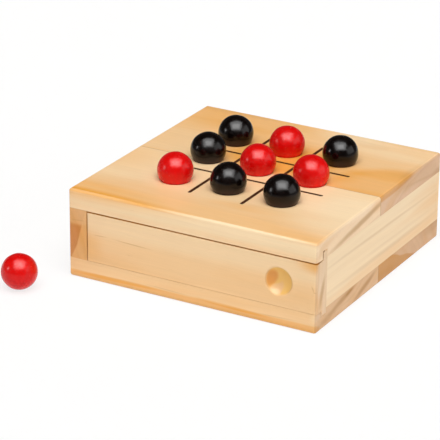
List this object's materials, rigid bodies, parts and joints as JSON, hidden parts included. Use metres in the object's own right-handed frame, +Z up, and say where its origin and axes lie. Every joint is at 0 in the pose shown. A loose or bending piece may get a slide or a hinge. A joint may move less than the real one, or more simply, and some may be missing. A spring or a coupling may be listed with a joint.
{
  "type": "tic-tac-toe board",
  "caption": "Square wooden tic-tac-toe box: a hollowed board with engraved grid lines holds red and black balls, over a storage space closed by a sideways sliding front panel.",
  "frame": {"origin": "middle of the box's underside, which lies flat on the table", "axes": "+Z up; -Y towards the front, where the sliding panel is; +X to the right, the way the panel slides out"},
  "size_m": [0.1735, 0.1885, 0.0663],
  "materials": {
    "top_front_wood": "clear satin lacquer on pine, grain left to right",
    "top_rear_wood": "clear satin lacquer on pine, grain left to right",
    "bottom_front_wood": "clear satin lacquer on pine, grain left to right",
    "bottom_rear_wood": "clear satin lacquer on pine, grain left to right",
    "left_wood": "clear satin lacquer on pine, grain front to back",
    "right_wood": "clear satin lacquer on pine, grain front to back",
    "rear_wood": "clear satin lacquer on pine, grain left to right",
    "panel_wood": "clear satin lacquer on pine, grain left to right",
    "line_paint": "matt dark brown paint in an engraved line",
    "red_paint": "gloss red paint on turned wood",
    "black_paint": "gloss black paint on turned wood"
  },
  "bodies": {
    "box": {"top_front_board": "top_front_wood", "top_rear_board": "top_rear_wood", "bottom_front_board": "bottom_front_wood", "bottom_rear_board": "bottom_rear_wood", "left_wall": "left_wood", "right_wall": "right_wood", "rear_wall": "rear_wood", "grid_lines": "line_paint"},
    "panel": {"sliding_panel": "panel_wood"},
    "red_ball_1": {"red_ball_1": "red_paint"},
    "red_ball_2": {"red_ball_2": "red_paint"},
    "red_ball_3": {"red_ball_3": "red_paint"},
    "red_ball_4": {"red_ball_4": "red_paint"},
    "black_ball_1": {"black_ball_1": "black_paint"},
    "black_ball_2": {"black_ball_2": "black_paint"},
    "black_ball_3": {"black_ball_3": "black_paint"},
    "black_ball_4": {"black_ball_4": "black_paint"},
    "black_ball_5": {"black_ball_5": "black_paint"},
    "loose_red_ball": {"loose_red_ball": "red_paint"}
  },
  "joints": [
    {"name": "panel_slide", "type": "slide", "parent": "box", "child": "panel", "axis": [1, 0, 0], "range_m": [0, 0.14]},
    {"name": "red_ball_1_lift", "type": "slide", "parent": "box", "child": "red_ball_1", "axis": [0, 0, 1], "range_m": [0, 0.05]},
    {"name": "red_ball_2_lift", "type": "slide", "parent": "box", "child": "red_ball_2", "axis": [0, 0, 1], "range_m": [0, 0.05]},
    {"name": "red_ball_3_lift", "type": "slide", "parent": "box", "child": "red_ball_3", "axis": [0, 0, 1], "range_m": [0, 0.05]},
    {"name": "red_ball_4_lift", "type": "slide", "parent": "box", "child": "red_ball_4", "axis": [0, 0, 1], "range_m": [0, 0.05]},
    {"name": "black_ball_1_lift", "type": "slide", "parent": "box", "child": "black_ball_1", "axis": [0, 0, 1], "range_m": [0, 0.05]},
    {"name": "black_ball_2_lift", "type": "slide", "parent": "box", "child": "black_ball_2", "axis": [0, 0, 1], "range_m": [0, 0.05]},
    {"name": "black_ball_3_lift", "type": "slide", "parent": "box", "child": "black_ball_3", "axis": [0, 0, 1], "range_m": [0, 0.05]},
    {"name": "black_ball_4_lift", "type": "slide", "parent": "box", "child": "black_ball_4", "axis": [0, 0, 1], "range_m": [0, 0.05]},
    {"name": "black_ball_5_lift", "type": "slide", "parent": "box", "child": "black_ball_5", "axis": [0, 0, 1], "range_m": [0, 0.05]},
    {"name": "loose_red_ball_lift", "type": "slide", "parent": "box", "child": "loose_red_ball", "axis": [0, 0, 1], "range_m": [0, 0.06]}
  ]
}
